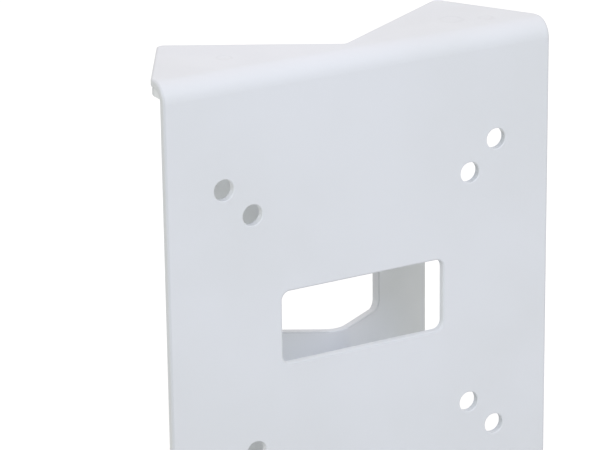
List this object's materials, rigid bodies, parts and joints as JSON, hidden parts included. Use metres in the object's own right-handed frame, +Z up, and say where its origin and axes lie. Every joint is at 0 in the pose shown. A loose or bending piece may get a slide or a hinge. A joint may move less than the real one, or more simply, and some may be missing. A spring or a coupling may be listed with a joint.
{
  "type": "camera mount",
  "caption": "White folded-steel adapter bracket: flat camera plate with screw holes and a cable window, flanged top and bottom, over a shallow V back that seats on a pole.",
  "frame": {"origin": "centre of the front face, where the window and both screw patterns are centred", "axes": "+Z up, -Y out of the face that carries the camera, +Y towards the pole, +X to the right seen from behind the camera"},
  "size_m": [0.17, 0.0546, 0.211],
  "materials": {
    "front_plate": "white powder coat, satin",
    "corner_plate": "white powder coat, satin"
  },
  "bodies": {
    "root": {"front_plate": "front_plate", "corner_plate": "corner_plate"}
  },
  "joints": []
}
